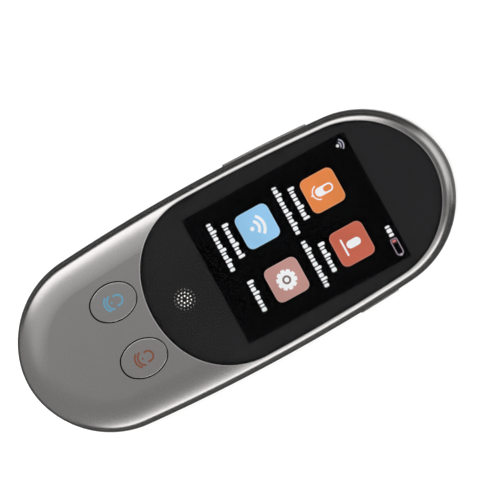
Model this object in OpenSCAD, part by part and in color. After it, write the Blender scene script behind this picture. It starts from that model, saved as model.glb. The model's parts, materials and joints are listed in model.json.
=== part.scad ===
// Handheld voice translator: a pebble-edged metal housing around a 2.4-inch display,
// lying on its back. +X is the right-hand side, +Y the display end, +Z the face.
// The origin is on the table, under the middle of the body. Millimetres.

/* [Body] */
// Width of the body
body_w = 51.3; // [50.8:0.1:52]
// Thickness of the body
body_t = 12; // [11.8:0.1:12.4]
// How much larger the sides' radius is than the corners'
side_extra_r = 500; // [487.5:12.5:512.5]
// How much larger the corners' radius is than the ends'
corner_extra_r = 4; // [3.5:0.25:4.5]
// Height of the parting line between the housing and the rear cover
parting_z = 4.4; // [4.3:0.05:4.5]

/* [Edge] */
// Radius of the tight shoulder at the front edge
front_shoulder_r = 3; // [2.8:0.1:3.2]
// How much larger the radius of the crown is that runs in to the flat face
front_extra_r = 17; // [16:1:18]
// Radius of the shoulder at the back edge
back_shoulder_r = 4.2; // [4:0.1:4.4]
// How much larger the radius of the crown at the back is
back_extra_r = 12.5; // [12:0.5:13]

/* [Glass and display] */
// Distance from the body's side to the glass
glass_inset = 2.6; // [2.5:0.05:2.8]
// How much further the glass stays back from the top end
glass_setback = 0.4; // [0.3:0.05:0.5]
// Where the glass's sides begin to turn in, below the middle
glass_turn_y = 2.5; // [2.2:0.1:2.8]
// How much larger the radius of the glass's lower arc is than its corners'
glass_extra_r = 5.5; // [5:0.25:6]
// Thickness of the cover glass
glass_t = 1.2; // [1:0.1:1.3]
// Radius of the glass's polished top edge
glass_edge_r = 0.7; // [0.4:0.1:0.9]
// Width of the display's picture
screen_w = 36.72; // [36:0.1:37]
// Length of the display's picture
screen_l = 48.96; // [48:0.1:50]
// Distance from the body's middle up to the picture's middle
screen_y = 19.25; // [19:0.05:19.5]

/* [Sound holes] */
// Distance of the hole cluster below the middle
cluster_y = 14.4; // [14.2:0.1:14.6]
// Diameter of the inner holes
sound_hole_d = 0.45; // [0.4:0.05:0.5]
// Distance between the rings of holes
sound_ring_pitch = 0.9; // [0.85:0.01:0.92]

/* [Buttons and keys] */
// Distance of each push button from the long centre line
button_x = 8.35; // [8.2:0.05:8.5]
// Distance of the push buttons below the middle
button_y = 31.5; // [31:0.1:32]
// Radius of the two ends of a button's oval opening
button_end_r = 4.4; // [4.2:0.1:4.5]
// How much larger the radius of the oval's sides is
button_extra_r = 4; // [3.5:0.25:4.25]
// Gap around a button
button_gap = 0.25; // [0.2:0.05:0.3]
// Travel of the buttons and of the power key
press_travel = 0.3; // [0.2:0.05:0.35]
// Length of the volume key
volume_l = 24.6; // [22:0.1:26]
// Middle of the volume key above the body's middle
volume_y = 22.8; // [22:0.1:24]
// How far the volume key stands out of the side
volume_proud = 0.4; // [0.3:0.05:0.5]
// Length of the power key
power_l = 11.5; // [10:0.1:12]
// Middle of the power key above the body's middle
power_y = 29.95; // [29:0.05:31]
// How far the power key stands out of the side
power_proud = 0.3; // [0.2:0.05:0.4]
// Height of both side keys
key_h = 2; // [1.8:0.1:2.2]
// Gap around the side keys
key_gap = 0.15; // [0.12:0.01:0.2]

/* [Hidden] */
// Two arcs meet smoothly where one line passes through both centres. These are the
// directions of those lines, as exact cosines and sines of 4.3, 69.4 and 57.5 degrees.
side_way = [0.99712, 0.07584];
corner_way = [0.352, 0.936];
across = [1, 0];
oval_way = [0.8, 0.6];
front_way = [0.352, 0.936];
back_way = [0.5376, 0.8432];

half_w = body_w / 2;
corner_r = half_w + corner_way[0] * corner_extra_r - (1 - side_way[0]) * side_extra_r;
side_r = corner_r + side_extra_r;
end_r = corner_r - corner_extra_r;
side_c = [half_w - side_r, 0];
corner_c = [-corner_way[0] * corner_extra_r, side_way[1] * side_extra_r];
end_c = [0, corner_c[1] + corner_way[1] * corner_extra_r];
half_l = end_c[1] + end_r;

// The edge in section: heights where the upright band of the side begins and ends.
front_crown_r = front_shoulder_r + front_extra_r;
back_crown_r = back_shoulder_r + back_extra_r;
front_rise = front_crown_r - front_extra_r * front_way[1];
back_rise = back_crown_r - back_extra_r * back_way[1];
front_wall_z = body_t - front_rise;
back_wall_z = back_rise;
// The ring that carries the edge, and the core that it laps.
ring_w = 12.5;
core_inset = 11.5;

// Glass stack, from the face down.
glass_z = body_t - glass_t;
border_t = 0.15;
mask_gap = 0.03;
seat_z = glass_z - border_t;
seat_t = 1.25;
seat_under = seat_z - seat_t;
down = [0, -glass_setback];
glass_half_w = half_w - glass_inset;
glass_low_c = [corner_way[0] * glass_extra_r, -glass_turn_y];
glass_low_r = glass_half_w - glass_low_c[0];
glass_arc_c = [0, corner_way[1] * glass_extra_r - glass_turn_y];
glass_arc_r = glass_low_r + glass_extra_r;
lcd_w = 39.2;
lcd_top = 45.6;
lcd_bottom = -10.6;
lcd_gap = 0.2;
lcd_t = 1.35;
backlight_t = 1.1;
lcd_back_z = seat_z - lcd_t - backlight_t;

// Main board and what it carries.
board_t = 1;
board_z = 5.4;
board_top = board_z + board_t;
board_inset = 3.6;
lip_top = board_z;
screw_spots = [[13, 51], [19.5, -18], [14, -47]];
screw_r = 0.8;
boss_r = 1.9;
key_z = (front_wall_z + back_wall_z) / 2;
key_flange_in = 1.75;
key_flange_out = 2.55;
switch_in = 3.4;
switch_out = 5.4;
port_z = 6.6;
port_w = 8.94;
port_h = 3.26;
port_wall = 0.3;
port_face = -62.2;
port_back = -54.9;
mic_x = 8.5;
mic_port_r = 0.5;
top_port_y = half_l - glass_inset - glass_setback - 0.35;
floor_z = 1.4;
deck_under = 10.6;
cap_z = 10.5;
flange_z = 10.1;
stem_z = 9.3;

metal = [0.47, 0.46, 0.45];
black = [0.05, 0.05, 0.055];

// The oval of a button's opening, with its long axis along Y.
oval_side_c = [-oval_way[0] * button_extra_r, 0];
oval_side_r = button_end_r + button_extra_r;
oval_end_c = [0, oval_way[1] * button_extra_r];

// ---------- outlines made of tangent arcs ----------

far = 600;

function facets(r) = r > 100 ? 720 : r > 10 ? 128 : 64;

// Puts the X axis through point p along a direction.
module along(p, way) {
    multmatrix([[way[0], -way[1], 0, p[0]], [way[1], way[0], 0, p[1]], [0, 0, 1, 0], [0, 0, 0, 1]])
        children();
}

module left_of(p, way) {
    along(p, way)
        translate([-far, 0])
            square([2 * far, far]);
}

module right_of(p, way) {
    along(p, way)
        translate([-far, -far])
            square([2 * far, far]);
}

module disc(c, r) {
    translate(c)
        circle(r = r, $fn = facets(r));
}

module mirror_x() {
    children();
    mirror([1, 0, 0])
        children();
}

module mirror_y() {
    children();
    mirror([0, 1, 0])
        children();
}

// A quarter of the body's outline, at an inset, above the X axis.
module body_quarter(inset) {
    intersection() {
        disc(side_c, side_r - inset);
        square([far, far]);
        right_of(side_c, side_way);
    }
    intersection() {
        disc(corner_c, corner_r - inset);
        square([far, far]);
        left_of(side_c, side_way);
        right_of(end_c, corner_way);
    }
    intersection() {
        disc(end_c, end_r - inset);
        square([far, far]);
        left_of(end_c, corner_way);
    }
}

module body_area(inset) {
    mirror_y()
        mirror_x()
            body_quarter(inset);
}

// The glass keeps the body's line above, and closes with wider arcs below.
module glass_area(inset) {
    mirror_x()
        union() {
            translate(down)
                body_quarter(glass_inset + inset);
            translate([0, -glass_turn_y])
                square([glass_half_w - inset, glass_turn_y - glass_setback]);
            intersection() {
                disc(glass_low_c, glass_low_r - inset);
                translate([0, -far - glass_turn_y])
                    square([far, far]);
                left_of(glass_arc_c, [corner_way[0], -corner_way[1]]);
            }
            intersection() {
                disc(glass_arc_c, glass_arc_r - inset);
                translate([0, -far - glass_turn_y])
                    square([far, far]);
                right_of(glass_arc_c, [corner_way[0], -corner_way[1]]);
            }
        }
}

module oval_area(inset) {
    mirror_y()
        mirror_x()
            union() {
                intersection() {
                    disc(oval_side_c, oval_side_r - inset);
                    square([far, far]);
                    right_of(oval_end_c, oval_way);
                }
                intersection() {
                    disc(oval_end_c, button_end_r - inset);
                    square([far, far]);
                    left_of(oval_end_c, oval_way);
                }
            }
}

// A slab of the body's outline between two heights.
module body_slab(inset, low, high) {
    translate([0, 0, low])
        linear_extrude(high - low)
            body_area(inset);
}

// A band between two insets of the body's outline.
module body_band(outer, inner, low, high) {
    translate([0, 0, low])
        linear_extrude(high - low)
            difference() {
                body_area(outer);
                body_area(inner);
            }
}

// ---------- edges carried round the arcs ----------

// A section carried round an arc from a direction, to the left. Its own X axis
// starts at the arc, so that it is drawn at its real size whatever the radius is.
module carry_left(c, way, r, turn) {
    along(c, way)
        rotate_extrude(angle = turn, $fn = facets(r))
            translate([r, 0])
                children();
}

module carry_right(c, way, r, turn) {
    along(c, way)
        mirror([0, 1, 0])
            rotate_extrude(angle = turn, $fn = facets(r))
                translate([r, 0])
                    children();
}

// A section carried round the whole body. Each arc starts at its two ends and laps
// itself in the middle, so that the joints between arcs are exact.
module round_body() {
    mirror_y()
        mirror_x()
            union() {
                carry_right(side_c, side_way, side_r, 5)
                    children();
                carry_left(corner_c, side_way, corner_r, 35)
                    children();
                carry_right(corner_c, corner_way, corner_r, 35)
                    children();
                carry_left(end_c, corner_way, end_r, 22)
                    children();
            }
}

// What the front edge takes off a square corner: a tight shoulder, then a wide crown.
module edge_cut(shoulder, extra, way, rise) {
    crown_in = shoulder + extra * way[0];
    difference() {
        translate([-crown_in, 0])
            square([crown_in + 1, rise + 1]);
        translate([-shoulder, 0])
            circle(r = shoulder, $fn = 96);
        intersection() {
            translate([-crown_in, -extra * way[1]])
                circle(r = shoulder + extra, $fn = 512);
            translate([-crown_in - 1, -1])
                square([crown_in + 1 - shoulder * (1 - way[0]), rise + 3]);
        }
    }
}

// The upper part of the body's form, from a height up to the face.
module front_form(low) {
    body_slab(core_inset, low, body_t);
    round_body()
        difference() {
            translate([-ring_w, low])
                square([ring_w, body_t - low]);
            translate([0, front_wall_z])
                edge_cut(front_shoulder_r, front_extra_r, front_way, front_rise);
            translate([0, back_wall_z])
                mirror([0, 1])
                    edge_cut(back_shoulder_r, back_extra_r, back_way, back_rise);
        }
}

// The lower part, from the table up to a height.
module back_form(high) {
    body_slab(core_inset, 0, high);
    round_body()
        difference() {
            translate([-ring_w, 0])
                square([ring_w, high]);
            translate([0, back_wall_z])
                mirror([0, 1])
                    edge_cut(back_shoulder_r, back_extra_r, back_way, back_rise);
        }
}

// The quarter round of a polished edge.
module quarter_round(edge) {
    translate([-edge, -edge])
        intersection() {
            circle(r = edge, $fn = 48);
            translate([-0.1, -0.1])
                square(edge + 0.2);
        }
}

// A section carried round the glass.
module round_glass() {
    low_way = [corner_way[0], -corner_way[1]];
    mirror_x()
        union() {
            translate(down)
                union() {
                    carry_left(side_c, across, side_r - glass_inset, 3)
                        children();
                    carry_right(side_c, side_way, side_r - glass_inset, 3)
                        children();
                    carry_left(corner_c, side_way, corner_r - glass_inset, 35)
                        children();
                    carry_right(corner_c, corner_way, corner_r - glass_inset, 35)
                        children();
                    carry_left(end_c, corner_way, end_r - glass_inset, 22)
                        children();
                }
            translate([glass_half_w, -glass_setback, 0])
                rotate([90, 0, 0])
                    linear_extrude(glass_turn_y - glass_setback)
                        children();
            carry_right(glass_low_c, across, glass_low_r, 36)
                children();
            carry_left(glass_low_c, low_way, glass_low_r, 36)
                children();
            carry_right(glass_arc_c, low_way, glass_arc_r, 22)
                children();
        }
}

// A section carried round a button's oval, at an inset.
module round_oval(inset) {
    mirror_y()
        mirror_x()
            union() {
                carry_left(oval_side_c, across, oval_side_r - inset, 20)
                    children();
                carry_right(oval_side_c, oval_way, oval_side_r - inset, 20)
                    children();
                carry_left(oval_end_c, oval_way, button_end_r - inset, 30)
                    children();
                carry_right(oval_end_c, [0, 1], button_end_r - inset, 30)
                    children();
            }
}

module block(x0, x1, y0, y1, z0, z1) {
    translate([x0, y0, z0])
        cube([x1 - x0, y1 - y0, z1 - z0]);
}

module rod(x, y, z0, z1, r) {
    translate([x, y, z0])
        cylinder(h = z1 - z0, r = r, $fn = 48);
}

// A stadium-shaped bar along Y through the end wall.
module end_bar(w, h, y0, y1) {
    translate([0, y1, port_z])
        rotate([90, 0, 0])
            linear_extrude(y1 - y0)
                union() {
                    square([w - h, h], center = true);
                    for (side = [-1, 1])
                        translate([side * (w - h) / 2, 0])
                            circle(r = h / 2, $fn = 48);
                }
}

// A stadium-shaped bar along X through a side wall.
module side_bar(x0, x1, y, len, h) {
    translate([x0, y, key_z])
        rotate([90, 0, 90])
            linear_extrude(x1 - x0)
                union() {
                    square([len - h, h], center = true);
                    for (side = [-1, 1])
                        translate([side * (len - h) / 2, 0])
                            circle(r = h / 2, $fn = 48);
                }
}

// ---------- housing ----------

module lcd_window(low, high) {
    block(-lcd_w / 2 - lcd_gap, lcd_w / 2 + lcd_gap,
        lcd_bottom - lcd_gap, lcd_top + lcd_gap, low, high);
}

// A button's opening in the deck, and the room under it for the cap's flange.
module button_opening() {
    translate([0, -button_y, deck_under - 1])
        linear_extrude(4)
            oval_area(0);
    translate([0, -button_y, seat_under - 0.1])
        linear_extrude(deck_under - seat_under + 0.1)
            oval_area(-1.1);
}

// Steps of the hollow under the front edge: inset, then the height of its ceiling.
front_steps = [[1.5, 8.6], [2.6, 9.5], [5, 10.15], [9, deck_under]];
// Steps of the hollow in the rear cover: inset, then the height of its floor.
back_steps = [[3, 3.1], [5, 2.3], [8, 1.6], [11, floor_z]];
catch_inset = 1.85;
catch_z = 4.8;

module front_housing() {
    color(metal)
        difference() {
            union() {
                difference() {
                    front_form(parting_z);
                    body_slab(catch_inset, parting_z - 1, catch_z + 0.1);
                    for (step = front_steps)
                        body_slab(step[0], catch_z, step[1]);
                }
                // the glass's seat, under the rim and the deck
                translate([0, 0, seat_under])
                    linear_extrude(seat_t)
                        intersection() {
                            glass_area(-1.6);
                            body_area(2.4);
                        }
                translate([0, 0, seat_under])
                    linear_extrude(seat_t + 0.6)
                        intersection() {
                            glass_area(-1.6);
                            body_area(5);
                        }
                // posts that the board is screwed to
                mirror_x()
                    for (spot = screw_spots)
                        rod(spot[0], spot[1], board_top, seat_z - 0.15, boss_r);
            }
            translate([0, 0, seat_z])
                linear_extrude(body_t)
                    glass_area(-0.15);
            lcd_window(seat_z - 3, seat_z + 1);
            rod(0, -cluster_y, seat_z - 3, seat_z + 1, 2.9);
            rod(0, -cluster_y, seat_z - border_t, seat_z + 1, 3.3);
            rod(0, top_port_y, seat_z - 2, seat_z + 1, 0.35);
            mirror_x()
                for (spot = screw_spots)
                    rod(spot[0], spot[1], board_top - 1, board_top + 2.6, screw_r + 0.02);
            for (side = [-1, 1])
                translate([side * button_x, 0, 0])
                    button_opening();
            side_bar(-half_w - 2, -half_w + 4, volume_y, volume_l + 2 * key_gap,
                key_h + 2 * key_gap);
            side_bar(half_w - 4, half_w + 2, power_y, power_l + 2 * key_gap,
                key_h + 2 * key_gap);
            end_bar(port_w + 0.5, port_h + 0.4, -half_l - 1, port_back);
            translate([mic_x, -half_l + 5, port_z])
                rotate([90, 0, 0])
                    cylinder(h = 6, r = mic_port_r, $fn = 32);
        }
}

// Snap hooks on the rear cover's lip: places along the sides, and at the top end.
clip_spots = [-36, -12, 40];
cover_top = parting_z - 0.05;

module rear_cover() {
    color(metal)
        difference() {
            union() {
                difference() {
                    back_form(cover_top);
                    for (step = back_steps)
                        body_slab(step[0], step[1], body_t);
                }
                // lip that locates the cover inside the housing
                body_band(2, 3.4, cover_top - 0.8, lip_top);
                // snap hooks
                intersection() {
                    body_band(1.6, 2.5, catch_z + 0.1, lip_top - 0.1);
                    union() {
                        for (y = clip_spots)
                            block(-half_w, half_w, y - 2, y + 2, 0, body_t);
                        block(-3, 3, 0, half_l, 0, body_t);
                    }
                }
                // battery tray
                difference() {
                    block(-18.6, 18.6, -15.6, 41.6, floor_z - 0.4, 3);
                    block(-17.8, 17.8, -14.8, 40.8, 0, 4);
                }
                // ribs that stiffen the button end
                for (x = [-12, 0, 12])
                    block(x - 0.4, x + 0.4, -50, -18, floor_z - 0.4, 2.6);
                for (y = [-50, -34, -18])
                    block(-12, 12, y - 0.4, y + 0.4, floor_z - 0.4, 2.6);
            }
            // the battery's recess, level with the floor that it rests on
            block(-17.8, 17.8, -14.8, 40.8, back_steps[2][1], body_t);
            // room for the charging port behind the end wall
            block(-5.2, 5.2, -half_l + 1.5, -50, parting_z, body_t);
        }
}

// ---------- glass and display ----------

// Rings of six, twelve and eighteen holes that shrink outwards.
module sound_holes(low, high) {
    for (ring = [1:3])
        for (i = [0:6 * ring - 1])
            translate([0, -cluster_y, low])
                rotate(90 + i * 60 / ring)
                    translate([ring * sound_ring_pitch, 0, 0])
                        cylinder(h = high - low,
                            r = sound_hole_d / 2 - (ring - 1) * 0.035, $fn = 16);
}

module cover_glass() {
    color(black)
        difference() {
            union() {
                translate([0, 0, glass_z])
                    linear_extrude(glass_t - glass_edge_r)
                        glass_area(0);
                translate([0, 0, glass_z])
                    linear_extrude(glass_t)
                        glass_area(glass_edge_r);
                translate([0, 0, body_t])
                    round_glass()
                        quarter_round(glass_edge_r);
            }
            sound_holes(glass_z - 1, body_t + 1);
            // notch over the top microphone's port
            rod(0, top_port_y + 0.6, glass_z - 1, body_t + 1, 0.65);
        }
}

// The black mask, a hairline below the glass, with the same sound holes as the glass.
module glass_border() {
    color(black)
        difference() {
            translate([0, 0, seat_z])
                linear_extrude(border_t - mask_gap)
                    difference() {
                        glass_area(0.3);
                        translate([0, screen_y])
                            square([screen_w, screen_l], center = true);
                        translate([0, top_port_y + 0.35])
                            circle(r = 0.9, $fn = 32);
                    }
            sound_holes(seat_z - 1, glass_z + 1);
        }
}

module sound_mesh() {
    color("silver")
        rod(0, -cluster_y, seat_z - border_t, seat_z, 3.25);
}

module lcd_panel() {
    color([0.02, 0.02, 0.03])
        block(-lcd_w / 2, lcd_w / 2, lcd_bottom, lcd_top, seat_z - lcd_t, seat_z);
}

// A steel tray around the light guide, open towards the panel.
module lcd_backlight() {
    low = lcd_back_z;
    high = seat_z - lcd_t;
    color([0.8, 0.8, 0.8])
        union() {
            block(-lcd_w / 2, lcd_w / 2, lcd_bottom, lcd_top, low, low + 0.2);
            block(-lcd_w / 2 + 0.3, lcd_w / 2 - 0.3, lcd_bottom + 0.3, lcd_top - 0.3,
                low + 0.1, high);
        }
}

// A flat ribbon that leaves the panel's lower end and folds back to its connector.
flex_bend_r = 1;
flex_t = 0.14;
flex_y = -10.7;

module display_flex() {
    bend_z = lcd_back_z + 0.05;
    color([0.75, 0.5, 0.1])
        translate([-19.4, 0, 0])
            rotate([90, 0, 90])
                linear_extrude(10)
                    union() {
                        translate([flex_y, bend_z])
                            difference() {
                                circle(r = flex_bend_r + flex_t / 2, $fn = 64);
                                circle(r = flex_bend_r - flex_t / 2, $fn = 64);
                                translate([0, -2])
                                    square([4, 4]);
                            }
                        translate([flex_y, bend_z + flex_bend_r - flex_t / 2])
                            square([lcd_bottom - flex_y, flex_t]);
                        translate([flex_y, bend_z - flex_bend_r - flex_t / 2])
                            square([2.7, flex_t]);
                    }
}

module flex_connector() {
    color([0.85, 0.82, 0.75])
        block(-20, -8.8, flex_y + 2.7, flex_y + 6, board_top, board_top + 1.3);
}

// ---------- electronics ----------

module main_board() {
    color([0.05, 0.25, 0.12])
        difference() {
            body_slab(board_inset, board_z, board_top);
            block(-4.9, 4.9, -half_l, port_back + 0.4, 0, body_t);
            mirror_x()
                for (spot = screw_spots)
                    rod(spot[0], spot[1], 0, body_t, screw_r + 0.15);
        }
}

module shield_can() {
    color([0.75, 0.75, 0.76])
        difference() {
            block(-13, 13, 8, 38, board_top, board_top + 1.5);
            block(-12.8, 12.8, 8.2, 37.8, board_top - 1, board_top + 1.3);
        }
}

module loudspeaker() {
    top = seat_under - 0.4;
    color([0.12, 0.12, 0.13])
        difference() {
            block(-7.5, 7.5, -22.2, -11.2, board_top, top);
            rod(0, -cluster_y, top - 0.5, top + 1, 2.6);
        }
}

module speaker_gasket() {
    top = seat_under;
    color([0.2, 0.2, 0.2])
        difference() {
            rod(0, -cluster_y, top - 0.4, top, 3.15);
            rod(0, -cluster_y, top - 1, top + 1, 2.6);
        }
}

module bottom_microphone() {
    color([0.7, 0.65, 0.45])
        block(mic_x - 1.4, mic_x + 1.4, -55.4, -51.6, board_top, board_top + 1.1);
}

module bottom_mic_boot() {
    color([0.1, 0.1, 0.1])
        difference() {
            intersection() {
                block(mic_x - 1.6, mic_x + 1.6, -half_l, -55.4, board_top, board_top + 1.4);
                body_slab(front_steps[0][0] + 0.05, 0, body_t);
            }
            translate([mic_x, -55, port_z + 0.4])
                rotate([90, 0, 0])
                    cylinder(h = 8, r = 0.4, $fn = 32);
        }
}

module top_microphone() {
    color([0.7, 0.65, 0.45])
        block(-1.9, 1.9, 56.7, 59.5, board_top, board_top + 1.1);
}

module top_mic_boot() {
    low = board_top + 1.1;
    color([0.1, 0.1, 0.1])
        difference() {
            rod(0, top_port_y - 0.9, low, seat_under, 1.6);
            rod(0, top_port_y, low - 1, body_t, 0.35);
        }
}

// A stamped shell, open at the end wall.
module port_shell() {
    color([0.72, 0.72, 0.73])
        difference() {
            end_bar(port_w, port_h, port_face, port_back);
            end_bar(port_w - 2 * port_wall, port_h - 2 * port_wall, port_face - 1, port_back - 1.4);
        }
}

module port_tongue() {
    color([0.08, 0.08, 0.08])
        block(-3.35, 3.35, port_face + 1.2, port_back - 1.4, port_z - 0.35, port_z + 0.35);
}

// A pouch cell: soft long edges and a folded seal at one end.
module battery() {
    color([0.6, 0.62, 0.64])
        union() {
            for (side = [-1, 1])
                translate([side * 15.8, -14.4, 3.3])
                    rotate([-90, 0, 0])
                        cylinder(h = 52, r = 1.7, $fn = 48);
            block(-15.8, 15.8, -14.4, 37.6, 1.6, 5);
            block(-15.8, 15.8, 37.6, 40.4, 2.8, 3.8);
        }
}

module battery_tape() {
    color([0.9, 0.9, 0.9])
        block(-12, 12, -12, 36, floor_z, 1.6);
}

module battery_tab() {
    color([0.9, 0.6, 0.2])
        block(-2, 2, -17.4, -14.4, 4.4, 4.6);
}

module battery_connector() {
    color([0.9, 0.88, 0.82])
        block(-3, 3, -21, -17.4, 4.2, board_z);
}

module antenna() {
    color([0.85, 0.85, 0.8])
        block(-8, 8, 50.5, 54.5, board_top, board_top + 2);
}

module board_screws() {
    color([0.3, 0.3, 0.32])
        mirror_x()
            for (spot = screw_spots) {
                rod(spot[0], spot[1], board_z - 0.7, board_z, 1.5);
                rod(spot[0], spot[1], board_z - 0.1, board_top + 2.4, screw_r);
            }
}

// ---------- push buttons ----------

module tact_switch(side) {
    x = side * button_x;
    color([0.15, 0.15, 0.16])
        difference() {
            block(x - 2.6, x + 2.6, -button_y - 2.6, -button_y + 2.6, board_top, 8.6);
            rod(x, -button_y, 7.5, 9, 1.27);
        }
}

module button_plunger(side) {
    color([0.5, 0.1, 0.08])
        rod(side * button_x, -button_y, 8, stem_z, 1.2);
}

// A cap with a hollow underside, a retaining flange and a middle stem.
module button_cap(side) {
    cap_edge_r = 0.3;
    color(metal)
        translate([side * button_x, -button_y, 0])
            union() {
                difference() {
                    union() {
                        translate([0, 0, flange_z])
                            linear_extrude(body_t - cap_edge_r - flange_z)
                                oval_area(button_gap);
                        translate([0, 0, flange_z])
                            linear_extrude(body_t - flange_z)
                                oval_area(button_gap + cap_edge_r);
                        translate([0, 0, body_t])
                            round_oval(button_gap)
                                quarter_round(cap_edge_r);
                        translate([0, 0, flange_z])
                            linear_extrude(cap_z - flange_z)
                                oval_area(-0.8);
                    }
                    translate([0, 0, flange_z - 1])
                        linear_extrude(body_t - flange_z)
                            oval_area(button_gap + 1);
                }
                rod(0, 0, stem_z, body_t - 0.9, 1.9);
            }
}

module left_tact_switch() {
    tact_switch(-1);
}

module right_tact_switch() {
    tact_switch(1);
}

module left_button_cap() {
    button_cap(-1);
}

module right_button_cap() {
    button_cap(1);
}

module left_button_plunger() {
    button_plunger(-1);
}

module right_button_plunger() {
    button_plunger(1);
}

// ---------- side keys ----------

// A key that follows the side's curve, with a flange behind the wall.
module side_key(side, y, len, proud) {
    reach = side < 0 ? [-half_w - 2, -half_w + 6] : [half_w - 6, half_w + 2];
    union() {
        intersection() {
            body_band(-proud, key_flange_out - 0.1, key_z - key_h, key_z + key_h);
            side_bar(reach[0], reach[1], y, len, key_h);
        }
        intersection() {
            body_band(key_flange_in, key_flange_out, key_z - key_h / 2 - 0.4,
                key_z + key_h / 2 + 0.3);
            block(reach[0], reach[1], y - len / 2 - 1.2, y + len / 2 + 1.2, 0, body_t);
        }
    }
}

// The sides' half width at a height along the body.
function side_x(y) = side_c[0] + sqrt(pow(side_r, 2) - pow(y, 2));

// The rocker turns on an upright rib at its middle.
module volume_key() {
    color(metal)
        union() {
            side_key(-1, volume_y, volume_l, volume_proud);
            rod(key_flange_out - 0.1 - side_x(volume_y), volume_y, key_z - key_h / 2 - 0.4,
                key_z + key_h / 2 + 0.3, 0.5);
        }
}

module volume_switches() {
    color([0.15, 0.15, 0.16])
        for (shift = [-8, 8])
            union() {
                intersection() {
                    body_band(switch_in, switch_out, board_top, board_top + 1.6);
                    block(-half_w, 0, volume_y + shift - 1.6, volume_y + shift + 1.6, 0, body_t);
                }
                intersection() {
                    body_band(key_flange_out + 0.25, switch_out - 0.5,
                        key_z - 0.35, key_z + 0.35);
                    block(-half_w, 0, volume_y + shift - 0.6, volume_y + shift + 0.6, 0, body_t);
                }
            }
}

module power_key() {
    color(metal)
        side_key(1, power_y, power_l, power_proud);
}

module power_bar(outer, inner, r) {
    translate([side_x(power_y) - inner, power_y, key_z])
        rotate([0, 90, 0])
            cylinder(h = inner - outer, r = r, $fn = 32);
}

module power_plunger() {
    color([0.5, 0.1, 0.08])
        power_bar(key_flange_out + 0.04, switch_in + 0.5, 0.5);
}

module power_switch() {
    color([0.15, 0.15, 0.16])
        difference() {
            intersection() {
                body_band(switch_in, switch_out, board_top, board_top + 1.6);
                block(0, half_w, power_y - 1.8, power_y + 1.8, 0, body_t);
            }
            power_bar(switch_in - 1, switch_in + 1, 0.55);
        }
}

front_housing();
rear_cover();
cover_glass();
glass_border();
sound_mesh();
lcd_panel();
lcd_backlight();
display_flex();
flex_connector();
main_board();
shield_can();
loudspeaker();
speaker_gasket();
bottom_microphone();
bottom_mic_boot();
top_microphone();
top_mic_boot();
port_shell();
port_tongue();
battery();
battery_tape();
battery_tab();
battery_connector();
antenna();
board_screws();
left_tact_switch();
right_tact_switch();
left_button_cap();
left_button_plunger();
right_button_cap();
right_button_plunger();
volume_key();
volume_switches();
power_key();
power_plunger();
power_switch();
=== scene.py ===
"""A handheld voice translator on a pale studio floor: the finish of its shell, glass,
display picture, button marks and inner parts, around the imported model.
The scene is in metres. Outlines and flat marks are worked out in millimetres, and scaled by
MM as they become meshes. +X is the device's right, +Y its display end, +Z out of its face."""

import json
import math

import bpy
import numpy as np
from mathutils import Matrix, Vector

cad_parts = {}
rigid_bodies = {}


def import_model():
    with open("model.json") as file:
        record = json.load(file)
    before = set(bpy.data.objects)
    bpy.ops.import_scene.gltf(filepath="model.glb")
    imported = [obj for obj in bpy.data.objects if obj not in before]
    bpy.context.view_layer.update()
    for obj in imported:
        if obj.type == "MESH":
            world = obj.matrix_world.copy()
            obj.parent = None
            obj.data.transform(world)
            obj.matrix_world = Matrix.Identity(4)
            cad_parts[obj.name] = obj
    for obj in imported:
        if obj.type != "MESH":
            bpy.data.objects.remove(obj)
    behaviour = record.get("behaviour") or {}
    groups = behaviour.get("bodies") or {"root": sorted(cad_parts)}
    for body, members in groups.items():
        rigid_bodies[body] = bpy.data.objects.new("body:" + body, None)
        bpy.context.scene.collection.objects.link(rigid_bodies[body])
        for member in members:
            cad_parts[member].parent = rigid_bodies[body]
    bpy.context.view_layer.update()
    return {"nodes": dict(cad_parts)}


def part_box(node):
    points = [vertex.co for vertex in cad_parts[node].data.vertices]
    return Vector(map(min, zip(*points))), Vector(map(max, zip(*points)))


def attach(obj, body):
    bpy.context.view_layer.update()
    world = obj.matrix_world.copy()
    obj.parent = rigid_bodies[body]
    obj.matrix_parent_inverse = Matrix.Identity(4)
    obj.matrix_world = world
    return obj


MM = 0.001

for leftover in list(bpy.data.objects):
    bpy.data.objects.remove(leftover)

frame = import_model()
nodes = frame["nodes"]

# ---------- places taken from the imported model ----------


def middle(node):
    """The middle of a node's box in plan."""
    low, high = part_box(node)
    return (low.x + high.x) / 2, (low.y + high.y) / 2


face_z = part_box("cover_glass")[1].z
glass_under_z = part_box("cover_glass")[0].z
panel_top_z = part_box("lcd_panel")[1].z
button_y = middle("left_button_cap")[1]

# ---------- the photograph's camera ----------

LENS_TILT = math.radians(11.8)  # how far the camera leans towards the display end
LONG_AXIS_TURN = math.radians(28.86)  # how far its long axis rises from level in the picture
VIEW_CENTRE = Vector((-3.05, 5.97, 6)) * MM  # the point that the picture is centred on
VIEW_WIDTH = 130.5 * MM  # how much the picture takes in there
CAMERA_DISTANCE = 1.5
SENSOR = 36  # the sensor's width in millimetres


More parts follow.
